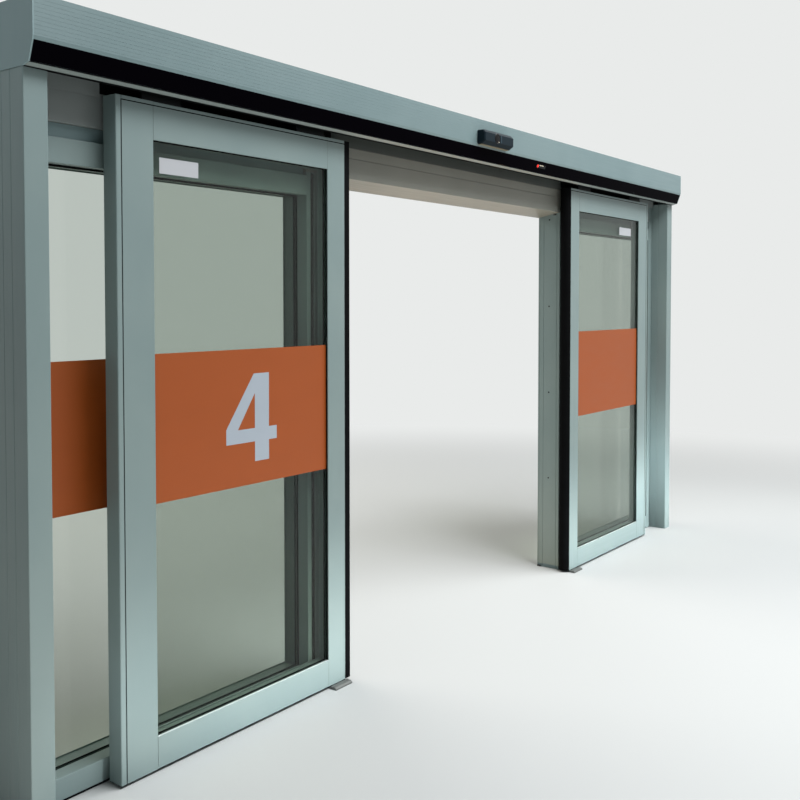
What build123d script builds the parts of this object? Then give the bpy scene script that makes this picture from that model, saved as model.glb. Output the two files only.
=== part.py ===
from build123d import *
import math
import os

# A sliding fire door with two leaves, two end posts, a fixed frame with a glazed
# light at each side, and an operator header. All sizes are in millimetres.
# X runs along the door, Y from the front into the building, Z up from the floor.
# The leaves stand open, clear of the passage.

# Passage and fixed frame
passage_half = 1010
jamb_width = 134
frame_depth = 137
leaf_overlaps_transom = 133
transom_height = 173
transom_slope_drop = 25
transom_joint_rise = 86
jamb_line_setbacks = (17, 101, 127)
brush_from_passage = 104
brush_groove_width = 8

# Side lights
light_clear_width = 1157
light_stile_width = 134
light_floor_gap = 10
light_bottom_rail_top = 82
light_top_rail_height = 79
light_head_drop = 14
head_band_height = 46
head_recess = 20
light_glass_recess = 58
light_glass_thickness = 20

# Leaves
leaf_width = 1102
leaf_height = 2190
leaf_bottom = 10
leaf_thickness = 65
leaf_overhang = 13
leaf_back_gap = 13
edge_cap_width = 22
outer_stile_width = 124
meeting_stile_width = 103
leaf_top_rail_height = 124
leaf_bottom_rail_height = 107
leaf_glass_recess = 11
leaf_glass_thickness = 21

# Glazing pocket, the same in every bar
pocket_depth = 15
gasket_gap = 3
lip_thickness = 3
lip_height = 4

# Grooves and rounded edges of the extruded bars
groove_width = 2
groove_depth = 4
top_groove_drop = 12
bar_edge_radius = 2
cap_edge_radius = 4

# Seals of the leaves
meeting_seal_inset = 1
nose_seal_reach = 26
nose_seal_root = 4
pocket_seal_reach = 33
pocket_seal_root = 6
pocket_seal_lip = 7
pocket_seal_tip_radius = 3
bottom_seal_height = 3
bottom_seal_inset = 1

# Floor guides
guide_plate_thickness = 2
guide_plate_length = 100
guide_lip_height = 11
guide_lip_slope = 6.5
guide_reach = 35
guide_clearance = 6
guide_tongue_width = 12
guide_tongue_length = 80
guide_tongue_height = 14
guide_groove_depth = 20

# End posts
post_width = 79
post_front_reach = 33
post_front_depth = 65
post_edge_radius = 3

# Operator header
header_gap = 16
header_reach = 92
end_cap_thickness = 5
cover_thickness = 3
cover_return = 70
strip_setback = 23
strip_drop = 58
lip_rise = 8
lip_setback = 51
lip_return = 16
fascia_edge_height = 10
fascia_edge_setback = 2.5
dark_strip_thickness = 3
dark_strip_edge = 1
cover_rib_count = 9
cover_rib_pitch = 12
cover_rib_width = 1
cover_rib_depth = 0.3

# Header beam
beam_wall = 8
beam_flange_thickness = 6
beam_flange_lip = 12
beam_skirt_drop = 22
shelf_rise = 38
shelf_thickness = 8
shelf_front = 27
beam_bolt_radius = 5.5
beam_bolt_rise = 74
beam_bolt_drop = 37
outer_bolt_from_end = 185
inner_bolt_spacing = 1500

# Running rail and carriages
rail_line = 36
rail_foot_width = 16
rail_foot_thickness = 4
rail_web = 5
rail_height = 27
rail_head_radius = 5
wheel_radius = 30
wheel_seat_depth = 6
wheel_width = 16
wheel_groove_slope = 60
wheel_spacing = 90
rolling_gap = 0.3
hanger_length = 160
hanger_thickness = 8
hanger_front = 12
hanger_foot_thickness = 8
hanger_foot_depth = 49
hanger_foot_front = 8
hanger_edge_margin = 110
belt_clamp_length = 60
belt_clamp_height = 30
belt_clamp_gap = 6
axle_radius = 8
axle_head_radius = 12
axle_head_length = 6

# Drive
pulley_radius = 20
pulley_width = 12
pulley_flange_height = 4
pulley_flange_thickness = 2
pulley_from_end = 255
pulley_headroom = 4
belt_rise = 5.7
belt_thickness = 3
belt_width = 10
belt_front = 3
drive_block_length = 70
drive_block_height = 52
drive_block_front = 21
motor_radius = 23
motor_length = 190
motor_setback = 46
idler_block_length = 60

# Motion sensor on the fascia
sensor_length = 320
sensor_height = 75
sensor_reach = 45
sensor_bottom_above_edge = 5
sensor_from_centre = 15
sensor_edge_radius = 9
sensor_slope = 14
sensor_underside_slope = 22
sensor_lens_radius = 26
sensor_lens_offset = 45
sensor_lens_length = 8
sensor_lens_setback = 4

# Planes across the depth, worked out so that the whole depth is centred on the origin
whole_depth = sensor_reach + header_reach + leaf_thickness + leaf_back_gap + frame_depth
leaf_front = -whole_depth / 2 + sensor_reach + header_reach
leaf_back = leaf_front + leaf_thickness
leaf_middle = leaf_front + leaf_thickness / 2
frame_front = leaf_back + leaf_back_gap
frame_back = frame_front + frame_depth
cover_front = leaf_front - header_reach
light_glass_front = frame_front + light_glass_recess
leaf_glass_front = leaf_front + leaf_glass_recess

# A length small enough to tell two corners apart
near = 0.01

# Places along the door, as distances from its middle
jamb_outer = passage_half + jamb_width
light_outer = jamb_outer + light_clear_width
frame_end = light_outer + light_stile_width
post_inner = frame_end - post_width
header_end = frame_end + end_cap_thickness
leaf_inner = passage_half - leaf_overhang
leaf_outer = leaf_inner + leaf_width
outer_stile_start = leaf_outer - edge_cap_width
leaf_opening_outer = outer_stile_start - outer_stile_width
leaf_opening_inner = leaf_inner + meeting_stile_width
pulley_from_centre = frame_end - pulley_from_end
outer_bolt_spacing = 2 * (frame_end - outer_bolt_from_end)

# Heights of the leaves and the fixed frame
leaf_top = leaf_bottom + leaf_height
leaf_opening_top = leaf_top - leaf_top_rail_height
leaf_opening_bottom = leaf_bottom + leaf_bottom_rail_height
transom_bottom = leaf_top - leaf_overlaps_transom
frame_top = transom_bottom + transom_height
transom_joint_height = transom_bottom + transom_joint_rise
light_top_rail_top = transom_bottom - light_head_drop
light_top_rail_bottom = light_top_rail_top - light_top_rail_height
head_panel_bottom = light_top_rail_top + head_band_height

# Heights in the header, from its underside up through the shelf, the rail, the wheels and the belt
header_underside = leaf_top + header_gap
fascia_bottom = header_underside + lip_rise + strip_drop
shelf_bottom = header_underside + shelf_rise
shelf_top = shelf_bottom + shelf_thickness
rail_top = shelf_top + rail_height
wheel_centre_height = rail_top + rolling_gap + wheel_radius - wheel_seat_depth
hanger_top = wheel_centre_height + wheel_radius
belt_bottom = hanger_top + belt_rise
pulley_height = belt_bottom + belt_thickness + pulley_radius
pulley_flange_radius = pulley_radius + pulley_flange_height
beam_flange_bottom = pulley_height + pulley_flange_radius + pulley_headroom
beam_flange_top = beam_flange_bottom + beam_flange_thickness
header_top = beam_flange_top + cover_thickness


def block(x_range, y_range, z_range):
    """A box between two values on each axis."""
    size = [high - low for low, high in (x_range, y_range, z_range)]
    middle = [(high + low) / 2 for low, high in (x_range, y_range, z_range)]
    return Pos(*middle) * Box(*size)


def outline_face(points):
    return make_face(Polyline(*points, close=True))


def rounded(face, radius, wanted):
    """Round the corners of a flat outline that the wanted test picks."""
    corners = [vertex for vertex in face.vertices() if wanted(vertex)]
    return fillet(corners, radius)


def upright(plan, bottom, top):
    """Raise a plan outline between two heights."""
    return extrude(Pos(0, 0, bottom) * plan, top - bottom)


def lengthwise(section, start, end):
    """Run an outline drawn in Y and Z along X."""
    placed = Plane.YZ.offset(start) * section
    return extrude(placed, end - start)


def bar_outline(width, depth, glass_front, glass_thickness):
    """Outline of a bar: its width from the outer edge to the glass, its depth from the front.

    The glass edge has a front lip and a back lip, a lowered reveal and a pocket.
    """
    reveal = width - lip_height
    pocket = width - pocket_depth
    pocket_front = glass_front - gasket_gap
    pocket_back = glass_front + glass_thickness + gasket_gap
    return [
        (0, 0),
        (width, 0),
        (width, lip_thickness),
        (reveal, lip_thickness),
        (reveal, pocket_front),
        (pocket, pocket_front),
        (pocket, pocket_back),
        (reveal, pocket_back),
        (reveal, depth - lip_thickness),
        (width, depth - lip_thickness),
        (width, depth),
        (0, depth),
    ]


def bar_face(points, depth, width):
    """The bar's outline with its four outside corners rounded."""
    outside = [(0, 0), (width, 0), (width, depth), (0, depth)]

    def is_outside(vertex):
        return any(abs(vertex.X - u) + abs(vertex.Y - v) < near for u, v in outside)

    return rounded(outline_face(points), bar_edge_radius, is_outside)


def leaf_bar(width):
    outline = bar_outline(width, leaf_thickness, leaf_glass_recess, leaf_glass_thickness)
    return bar_face(outline, leaf_thickness, width)


def frame_bar(width):
    outline = bar_outline(width, frame_depth, light_glass_recess, light_glass_thickness)
    return bar_face(outline, frame_depth, width)


def mirrored(solid):
    return mirror(solid, about=Plane.YZ)


def leaf_groove(x_range):
    """The groove along the top of a leaf, cut from its front and its back."""
    high = leaf_top - top_groove_drop
    low = high - groove_width
    front = block(x_range, (leaf_front - groove_width, leaf_front + groove_depth), (low, high))
    back = block(x_range, (leaf_back - groove_depth, leaf_back + groove_width), (low, high))
    return front + back


def guide_groove(x_range):
    """The groove in a leaf's underside that the floor guide runs in."""
    half = guide_tongue_width / 2 + guide_clearance
    return block(x_range, (leaf_middle - half, leaf_middle + half),
                 (leaf_bottom - groove_width, leaf_bottom + guide_groove_depth))


def make_outer_stile():
    """The stile at the leaf's outer edge, for the leaf on the positive side."""
    plan = Pos(outer_stile_start, leaf_front) * mirror(leaf_bar(outer_stile_width), about=Plane.YZ)
    stile = upright(plan, leaf_bottom, leaf_top)
    span = (leaf_opening_outer - groove_width, outer_stile_start + groove_width)
    return stile - leaf_groove(span) - guide_groove(span)


def make_meeting_stile():
    plan = Pos(leaf_inner, leaf_front) * leaf_bar(meeting_stile_width)
    stile = upright(plan, leaf_bottom, leaf_top)
    span = (leaf_inner - groove_width, leaf_opening_inner + groove_width)
    return stile - leaf_groove(span) - guide_groove(span)


def make_leaf_top_rail():
    """The rail hangs glass edge down, so its outline is turned to run down from the leaf's top."""
    section = Pos(leaf_front, leaf_top) * Rot(0, 0, -90) * leaf_bar(leaf_top_rail_height)
    rail = lengthwise(section, leaf_opening_inner, leaf_opening_outer)
    return rail - leaf_groove((leaf_opening_inner, leaf_opening_outer))


def make_leaf_bottom_rail():
    section = Rot(0, 0, 90) * mirror(leaf_bar(leaf_bottom_rail_height), about=Plane.XZ)
    rail = lengthwise(Pos(leaf_front, leaf_bottom) * section, leaf_opening_inner, leaf_opening_outer)
    return rail - guide_groove((leaf_opening_inner, leaf_opening_outer))


def make_edge_cap():
    """The capping strip down the leaf's outer edge, with a shadow groove against the stile."""
    points = [
        (0, groove_depth),
        (groove_width, groove_depth),
        (groove_width, 0),
        (edge_cap_width, 0),
        (edge_cap_width, leaf_thickness),
        (groove_width, leaf_thickness),
        (groove_width, leaf_thickness - groove_depth),
        (0, leaf_thickness - groove_depth),
    ]
    face = rounded(outline_face(points), cap_edge_radius, lambda vertex: vertex.X > edge_cap_width - near)
    plan = Pos(outer_stile_start, leaf_front) * face
    return upright(plan, leaf_bottom, leaf_top)


def make_leaf_glass():
    return block(
        (leaf_opening_inner - pocket_depth, leaf_opening_outer + pocket_depth),
        (leaf_glass_front, leaf_glass_front + leaf_glass_thickness),
        (leaf_opening_bottom - pocket_depth, leaf_opening_top + pocket_depth),
    )


def make_nose_seal():
    """The rubber seal on one leaf's meeting edge: a straight root with a nose rounded in one arc."""
    front = leaf_front + meeting_seal_inset
    back = leaf_back - meeting_seal_inset
    root = leaf_inner - nose_seal_root
    nose = ThreePointArc((root, front), (leaf_inner - nose_seal_reach, leaf_middle), (root, back))
    sides = Polyline((root, back), (leaf_inner, back), (leaf_inner, front), (root, front))
    return upright(make_face(nose + sides), leaf_bottom, leaf_top)


def make_pocket_seal():
    """The seal on the other leaf, on the negative side: two lips on a root, with a pocket for the nose."""
    front = leaf_front + meeting_seal_inset
    back = leaf_back - meeting_seal_inset
    root = leaf_inner - pocket_seal_root
    tip = leaf_inner - pocket_seal_reach
    points = [
        (leaf_inner, front),
        (leaf_inner, back),
        (tip, back),
        (tip, back - pocket_seal_lip),
        (root, back - pocket_seal_lip),
        (root, front + pocket_seal_lip),
        (tip, front + pocket_seal_lip),
        (tip, front),
    ]
    face = rounded(outline_face(points), pocket_seal_tip_radius, lambda vertex: vertex.X < tip + near)
    return mirrored(upright(face, leaf_bottom, leaf_top))


def make_bottom_seal():
    """Two rubber strips under the leaf, one each side of the guide groove."""
    half = guide_tongue_width / 2 + guide_clearance
    x_range = (leaf_inner, leaf_outer - bottom_seal_inset)
    z_range = (leaf_bottom - bottom_seal_height, leaf_bottom)
    front = block(x_range, (leaf_front + bottom_seal_inset, leaf_middle - half), z_range)
    back = block(x_range, (leaf_middle + half, leaf_back - bottom_seal_inset), z_range)
    return Compound([front, back])


def wheel_outline():
    """Half a V-grooved wheel's section: radius across, width up, with flanks that touch a round rail head."""
    half = wheel_width / 2
    rail_centre = wheel_radius - wheel_seat_depth + rolling_gap + rail_head_radius
    reach = (rail_head_radius + rolling_gap) / math.cos(math.radians(wheel_groove_slope))
    groove_bottom = rail_centre - reach
    outer = (wheel_radius - groove_bottom) / math.tan(math.radians(wheel_groove_slope))
    return [
        (0, 0),
        (wheel_radius, 0),
        (wheel_radius, half - outer),
        (groove_bottom, half),
        (wheel_radius, half + outer),
        (wheel_radius, wheel_width),
        (0, wheel_width),
    ]


def make_wheel(x_place):
    """A grooved wheel that turns about Y and runs on the rail head, with its six-sided axle bolt."""
    axle_start = leaf_front + hanger_front
    axle_length = rail_line - wheel_width / 2 - hanger_front
    section = Plane.XZ * outline_face(wheel_outline())
    wheel = revolve(section, Axis.Z)
    axle = extrude(RegularPolygon(axle_radius, 6), axle_length)
    head = extrude(RegularPolygon(axle_head_radius, 6), -axle_head_length)
    place = Pos(x_place, axle_start, wheel_centre_height)
    return place * Rot(-90, 0, 0) * (axle + head + Pos(0, 0, axle_length) * wheel)


def make_hanger(x_place):
    """One hanger: a foot on the leaf, a plate up into the header, two wheels and a belt clamp."""
    x_range = (x_place - hanger_length / 2, x_place + hanger_length / 2)
    plate_front = leaf_front + hanger_front
    foot_front = leaf_front + hanger_foot_front
    foot = block(x_range, (foot_front, foot_front + hanger_foot_depth),
                 (leaf_top, leaf_top + hanger_foot_thickness))
    plate = block(x_range, (plate_front, plate_front + hanger_thickness), (leaf_top, hanger_top))
    clamp = block((x_place - belt_clamp_length / 2, x_place + belt_clamp_length / 2),
                  (leaf_front + belt_front, plate_front + hanger_thickness),
                  (hanger_top - belt_clamp_height, belt_bottom - belt_clamp_gap))
    hanger = foot + plate + clamp
    for side in (-1, 1):
        hanger += make_wheel(x_place + side * wheel_spacing / 2)
    return hanger


def make_carriages():
    inner = leaf_inner + hanger_edge_margin + hanger_length / 2
    outer = leaf_outer - hanger_edge_margin - hanger_length / 2
    return Compound([make_hanger(inner), make_hanger(outer)])


def head_block():
    """The frame's head over the passage as a plain bar with a sloping underside."""
    points = [
        (frame_front, transom_bottom),
        (frame_front, frame_top),
        (frame_back, frame_top),
        (frame_back, transom_bottom - transom_slope_drop),
    ]
    return lengthwise(outline_face(points), -jamb_outer, jamb_outer)


def make_transom():
    """The head bar with the joint line along its front."""
    joint = block((-jamb_outer, jamb_outer), (frame_front - groove_width, frame_front + groove_depth),
                  (transom_joint_height - groove_width, transom_joint_height))
    return head_block() - joint


def make_jamb():
    """The jamb between the passage and a side light, for the positive side."""
    plan = Pos(passage_half, frame_front) * frame_bar(jamb_width)
    jamb = upright(plan, 0, transom_bottom) - head_block()
    for setback in jamb_line_setbacks:
        y_low = frame_front + setback
        jamb -= block((passage_half - groove_width, passage_half + groove_width),
                      (y_low, y_low + groove_width), (-groove_width, transom_bottom))
    brush_start = passage_half + brush_from_passage
    jamb -= block((brush_start, brush_start + brush_groove_width),
                  (frame_front - groove_width, frame_front + groove_depth), (-groove_width, transom_bottom))
    return jamb


def make_light_stile():
    """The side light's outer stile, behind the post."""
    plan = Pos(frame_end, frame_front) * mirror(frame_bar(light_stile_width), about=Plane.YZ)
    return upright(plan, 0, frame_top)


def make_light_bottom_rail():
    height = light_bottom_rail_top - light_floor_gap
    section = Rot(0, 0, 90) * mirror(frame_bar(height), about=Plane.XZ)
    return lengthwise(Pos(frame_front, light_floor_gap) * section, jamb_outer, light_outer)


def make_light_top_rail():
    section = Pos(frame_front, light_top_rail_top) * Rot(0, 0, -90) * frame_bar(light_top_rail_height)
    return lengthwise(section, jamb_outer, light_outer)


def make_light_glass():
    return block(
        (jamb_outer - pocket_depth, light_outer + pocket_depth),
        (light_glass_front, light_glass_front + light_glass_thickness),
        (light_bottom_rail_top - pocket_depth, light_top_rail_bottom + pocket_depth),
    )


def make_head_panel():
    """The closed panel over a side light, with a set-back band along its foot."""
    points = [
        (frame_front + head_recess, light_top_rail_top),
        (frame_front + head_recess, head_panel_bottom),
        (frame_front, head_panel_bottom),
        (frame_front, frame_top),
        (frame_back, frame_top),
        (frame_back, light_top_rail_top),
    ]
    return lengthwise(outline_face(points), jamb_outer, light_outer)


def make_post():
    """An end post of two tubes, one behind the other, with a valley where they meet."""
    front = leaf_front - post_front_reach
    joint = front + post_front_depth
    plan = Sketch()
    for start, end in ((front, joint), (joint, frame_front)):
        tube = Rectangle(post_width, end - start)
        tube = fillet(tube.vertices(), post_edge_radius)
        plan += Pos((post_inner + frame_end) / 2, (start + end) / 2) * tube
    return upright(plan, 0, header_underside)


def make_floor_guide():
    """A plate on the floor against the jamb, with a front lip and a tongue into the leaf."""
    start = leaf_inner - groove_width
    x_range = (start, start + guide_plate_length)
    front = leaf_front - guide_reach
    plate = block(x_range, (front, frame_front), (0, guide_plate_thickness))
    lip = block(x_range, (front, leaf_front - guide_clearance), (0, guide_lip_height))
    lip_edge = lip.edges().filter_by(Axis.X).sort_by(Axis.Z)[-2:].sort_by(Axis.Y)[0]
    lip = chamfer(lip_edge, guide_lip_slope)
    tongue_start = leaf_inner + guide_clearance
    tongue = block((tongue_start, tongue_start + guide_tongue_length),
                   (leaf_middle - guide_tongue_width / 2, leaf_middle + guide_tongue_width / 2),
                   (0, leaf_bottom + guide_tongue_height))
    return plate + lip + tongue


def cover_points():
    """The cover's outside line in Y and Z, from the back of its top to the lip's inner end."""
    return [
        Vector(cover_front + cover_return, header_top),
        Vector(cover_front, header_top),
        Vector(cover_front, fascia_bottom + fascia_edge_height),
        Vector(cover_front + fascia_edge_setback, fascia_bottom),
        Vector(cover_front + strip_setback, fascia_bottom - strip_drop),
        Vector(cover_front + lip_setback, header_underside),
        Vector(cover_front + lip_setback + lip_return, header_underside),
    ]


def inside_line(points, thickness):
    """The same line moved inwards by a thickness, with mitred corners."""
    moved = []
    for index, point in enumerate(points):
        before = points[max(index - 1, 0)]
        after = points[min(index + 1, len(points) - 1)]
        first = (point - before) if index > 0 else (after - point)
        second = (after - point) if index < len(points) - 1 else (point - before)
        first_normal = Vector(-first.Y, first.X).normalized()
        second_normal = Vector(-second.Y, second.X).normalized()
        corner = first_normal + second_normal
        scale = 2 * thickness / corner.dot(corner)
        moved.append(point + corner * scale)
    return moved


def strip_outline(thickness, edge):
    """A strip on the cover's sloping face, a little short of both ends of the slope."""
    high, low = cover_points()[3:5]
    along = (low - high).normalized()
    high += along * edge
    low -= along * edge
    inward = Vector(-along.Y, along.X) * thickness
    return [(p.X, p.Y) for p in (high, low, low + inward, high + inward)]


def make_cover():
    """The header's cover: fascia with a turned-in edge, sloping seat for the strip, lip and fine ribs."""
    outside = cover_points()
    inside = inside_line(outside, cover_thickness)
    shell = outline_face([(p.X, p.Y) for p in outside + inside[::-1]])
    shell += outline_face(strip_outline(dark_strip_thickness + cover_thickness, 0))
    shell -= outline_face(strip_outline(dark_strip_thickness, dark_strip_edge))
    for index in range(cover_rib_count):
        rib_height = fascia_bottom + fascia_edge_height + cover_rib_pitch * (index + 0.5)
        rib = Rectangle(cover_rib_depth * 2, cover_rib_width)
        shell -= Pos(cover_front, rib_height) * rib
    return lengthwise(shell, -frame_end, frame_end)


def make_dark_strip():
    section = outline_face(strip_outline(dark_strip_thickness, dark_strip_edge))
    return lengthwise(section, -frame_end, frame_end)


def make_end_cap():
    """A flat plate that closes the header's end, cut to the cover's outline."""
    outside = [(p.X, p.Y) for p in cover_points()[1:6]]
    points = outside + [(frame_front, header_underside), (frame_front, header_top)]
    return lengthwise(outline_face(points), frame_end, header_end)


def make_beam():
    """The header's back beam: wall, top flange with a lip, rail shelf and a short skirt."""
    wall_front = frame_front - beam_wall
    flange_front = cover_front + cover_thickness + groove_width
    shelf_edge = leaf_front + shelf_front
    points = [
        (frame_front, header_underside),
        (frame_front, beam_flange_top),
        (flange_front, beam_flange_top),
        (flange_front, beam_flange_bottom - beam_flange_lip),
        (flange_front + beam_flange_thickness / 2, beam_flange_bottom - beam_flange_lip),
        (flange_front + beam_flange_thickness / 2, beam_flange_bottom),
        (wall_front, beam_flange_bottom),
        (wall_front, shelf_top),
        (shelf_edge, shelf_top),
        (shelf_edge, shelf_bottom),
        (wall_front, shelf_bottom),
        (wall_front, header_underside),
    ]
    beam = lengthwise(outline_face(points), -frame_end, frame_end)
    beam += block((-jamb_outer, jamb_outer), (wall_front, frame_front),
                  (header_underside - beam_skirt_drop, header_underside + beam_wall))
    bolt = Rot(90, 0, 0) * Cylinder(beam_bolt_radius, 2 * beam_wall)
    for spacing in (outer_bolt_spacing, inner_bolt_spacing):
        for side in (-1, 1):
            for height in (header_underside + beam_bolt_rise, header_top - beam_bolt_drop):
                beam -= Pos(side * spacing / 2, frame_front - beam_wall / 2, height) * bolt
    return beam


def make_rail():
    """The running rail: a flat foot, a web and a round head."""
    line = leaf_front + rail_line
    foot = Pos(line, shelf_top + rail_foot_thickness / 2) * Rectangle(rail_foot_width, rail_foot_thickness)
    web_height = rail_height - rail_head_radius
    web = Pos(line, shelf_top + web_height / 2) * Rectangle(rail_web, web_height)
    head = Pos(line, rail_top - rail_head_radius) * Circle(rail_head_radius)
    return lengthwise(foot + web + head, -frame_end, frame_end)


def make_pulley(x_place):
    """A flanged belt pulley on the Y axis, with a shaft back to what carries it."""
    shaft_length = drive_block_front - belt_front + pulley_width
    hub = Cylinder(pulley_radius - rolling_gap, pulley_width, align=(Align.CENTER, Align.CENTER, Align.MIN))
    shaft = extrude(RegularPolygon(axle_radius, 6), shaft_length)
    flange = Cylinder(pulley_flange_radius, pulley_flange_thickness,
                      align=(Align.CENTER, Align.CENTER, Align.MIN))
    back_flange = Pos(0, 0, pulley_width) * flange
    front_flange = Pos(0, 0, -pulley_flange_thickness) * flange
    pulley = hub + shaft + back_flange + front_flange
    start = leaf_front + belt_front - (pulley_width - belt_width) / 2
    return Pos(x_place, start, pulley_height) * Rot(-90, 0, 0) * pulley


def drive_block(x_range):
    """A block on the beam's wall that carries a pulley's shaft."""
    half = drive_block_height / 2
    return block(x_range, (leaf_front + drive_block_front, frame_front - beam_wall),
                 (pulley_height - half, pulley_height + half))


def make_motor():
    """The gear block with its pulley, and the motor lying along the header beside it."""
    x_range = (pulley_from_centre - drive_block_length / 2, pulley_from_centre + drive_block_length / 2)
    motor = Cylinder(motor_radius, motor_length, align=(Align.CENTER, Align.CENTER, Align.MAX))
    motor = Pos(x_range[0], leaf_front + motor_setback, pulley_height) * Rot(0, 90, 0) * motor
    return drive_block(x_range) + motor + make_pulley(pulley_from_centre)


def make_idler():
    x_range = (-pulley_from_centre - idler_block_length / 2, -pulley_from_centre + idler_block_length / 2)
    return drive_block(x_range) + make_pulley(-pulley_from_centre)


def make_belt():
    """The belt, one closed loop round both pulleys."""
    start = leaf_front + belt_front
    outer = SlotCenterToCenter(2 * pulley_from_centre, 2 * (pulley_radius + belt_thickness))
    inner = SlotCenterToCenter(2 * pulley_from_centre, 2 * pulley_radius)
    loop = extrude(outer - inner, belt_width)
    return Pos(0, start + belt_width, pulley_height) * Rot(90, 0, 0) * loop


def make_sensor():
    """The motion sensor: a rounded housing with a sloping underside and a round lens."""
    bottom = fascia_bottom + sensor_bottom_above_edge
    front = cover_front - sensor_reach
    points = [
        (cover_front, bottom),
        (cover_front, bottom + sensor_height),
        (front + sensor_slope, bottom + sensor_height),
        (front, bottom + sensor_height - sensor_slope),
        (front, bottom + sensor_slope),
        (front + sensor_underside_slope, bottom),
    ]
    start = sensor_from_centre - sensor_length / 2
    housing = lengthwise(outline_face(points), start, start + sensor_length)
    ends = housing.faces().filter_by(Axis.X)
    edges = [edge for face in ends for edge in face.edges() if edge.center().Y < cover_front - near]
    housing = fillet(edges, sensor_edge_radius)
    lens = Cylinder(sensor_lens_radius, sensor_lens_length, align=(Align.CENTER, Align.CENTER, Align.MAX))
    lens = Pos(sensor_from_centre - sensor_lens_offset, front + sensor_lens_setback,
               bottom + sensor_height / 2) * Rot(90, 0, 0) * lens
    return housing + lens


os.makedirs("parts", exist_ok=True)

pair_makers = {
    "leaf_outer_stile": make_outer_stile,
    "leaf_meeting_stile": make_meeting_stile,
    "leaf_top_rail": make_leaf_top_rail,
    "leaf_bottom_rail": make_leaf_bottom_rail,
    "leaf_edge_cap": make_edge_cap,
    "leaf_glass": make_leaf_glass,
    "leaf_bottom_seal": make_bottom_seal,
    "leaf_carriages": make_carriages,
    "post": make_post,
    "jamb": make_jamb,
    "sidelight_stile": make_light_stile,
    "sidelight_top_rail": make_light_top_rail,
    "sidelight_bottom_rail": make_light_bottom_rail,
    "sidelight_glass": make_light_glass,
    "head_panel": make_head_panel,
    "floor_guide": make_floor_guide,
    "header_end_cap": make_end_cap,
}

single_makers = {
    "right_leaf_meeting_seal": make_nose_seal,
    "left_leaf_meeting_seal": make_pocket_seal,
    "transom": make_transom,
    "header_beam": make_beam,
    "header_cover": make_cover,
    "header_dark_strip": make_dark_strip,
    "track_rail": make_rail,
    "drive_motor": make_motor,
    "idler_pulley": make_idler,
    "drive_belt": make_belt,
    "motion_sensor": make_sensor,
}

for name, make in single_makers.items():
    export_step(make(), f"parts/{name}.step")

for name, make in pair_makers.items():
    right = make()
    export_step(right, f"parts/right_{name}.step")
    export_step(mirrored(right), f"parts/left_{name}.step")
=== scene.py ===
import bpy
import bmesh
import math
from mathutils import Matrix, Vector


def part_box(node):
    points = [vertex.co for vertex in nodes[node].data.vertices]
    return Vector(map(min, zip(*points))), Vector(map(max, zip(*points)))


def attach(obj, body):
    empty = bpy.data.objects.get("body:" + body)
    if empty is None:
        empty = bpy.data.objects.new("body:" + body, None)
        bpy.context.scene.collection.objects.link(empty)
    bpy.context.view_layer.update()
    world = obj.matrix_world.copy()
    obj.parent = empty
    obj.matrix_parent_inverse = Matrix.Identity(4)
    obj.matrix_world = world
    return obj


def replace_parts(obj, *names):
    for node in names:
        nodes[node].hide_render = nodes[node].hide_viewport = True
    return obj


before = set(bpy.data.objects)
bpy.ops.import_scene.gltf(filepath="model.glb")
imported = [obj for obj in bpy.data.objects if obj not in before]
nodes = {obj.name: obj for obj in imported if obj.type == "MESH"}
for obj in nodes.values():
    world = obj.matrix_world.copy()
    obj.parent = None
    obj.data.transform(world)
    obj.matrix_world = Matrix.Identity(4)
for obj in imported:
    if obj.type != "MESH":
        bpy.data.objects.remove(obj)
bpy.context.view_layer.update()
mm = 0.001
hair = 1e-6                             # metres: places closer than this are the same
sides = ("left", "right")
outwardOf = {"left": -1, "right": 1}    # the way along X from the passage to each side's post
paneKinds = ("leaf", "sidelight")
print("frame loaded,", len(nodes), "nodes")

# camera at the photograph's viewing angle
cameraSettings = {
    "place": (-3.9817, -2.5593, 1.5506),    # metres
    "turn": (88.148, 0.0, -53.108),         # degrees
    "lens": 43.36,
    "shiftY": -0.083,
}


def makeCamera():
    s = cameraSettings
    camera = bpy.data.cameras.new("camera")
    camera.lens = s["lens"]
    camera.shift_y = s["shiftY"]
    holder = bpy.data.objects.new("camera", camera)
    holder.location = s["place"]
    holder.rotation_euler = [math.radians(angle) for angle in s["turn"]]
    bpy.context.scene.collection.objects.link(holder)
    bpy.context.scene.camera = holder


makeCamera()
print("camera placed")


def colour(hexCode):
    # sRGB hex to linear
    parts = [int(hexCode[i:i + 2], 16) / 255 for i in (1, 3, 5)]
    linear = [p / 12.92 if p <= 0.04045 else ((p + 0.055) / 1.055) ** 2.4 for p in parts]
    return (*linear, 1.0)


def addNode(tree, kind, settings=None, inputs=None, feeds=None):
    # an input is a plain value or another node's output, and feeds names the socket that an output goes to
    node = tree.nodes.new(kind)
    for key, value in (settings or {}).items():
        setattr(node, key, value)
    for key, value in (inputs or {}).items():
        if isinstance(value, bpy.types.NodeSocket):
            tree.links.new(value, node.inputs[key])
        else:
            node.inputs[key].default_value = value
    for key, socket in (feeds or {}).items():
        tree.links.new(node.outputs[key], socket)
    return node


def startMaterial(name, values):
    material = bpy.data.materials.new(name)
    material.use_nodes = True
    tree = material.node_tree
    shader = tree.nodes["Principled BSDF"]
    for key, value in values.items():
        shader.inputs[key].default_value = value
    place = addNode(tree, "ShaderNodeTexCoord").outputs["Object"]
    return material, tree, shader, place


# polyester powder coat on aluminium bars: satin, with a fine orange peel and a faint drift of tone
coatSettings = {
    "peelPitch": 7 * mm,        # the real peel is about 1.5 mm, drawn coarser so that it shows
    "peelDepth": 0.05 * mm,
    "driftPitch": 420 * mm,
    "linePitch": 6 * mm,        # die lines of the extrusion, under the coat, drawn coarser too
    "roughness": (0.34, 0.46),
    "shine": 0.3,
}


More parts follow.
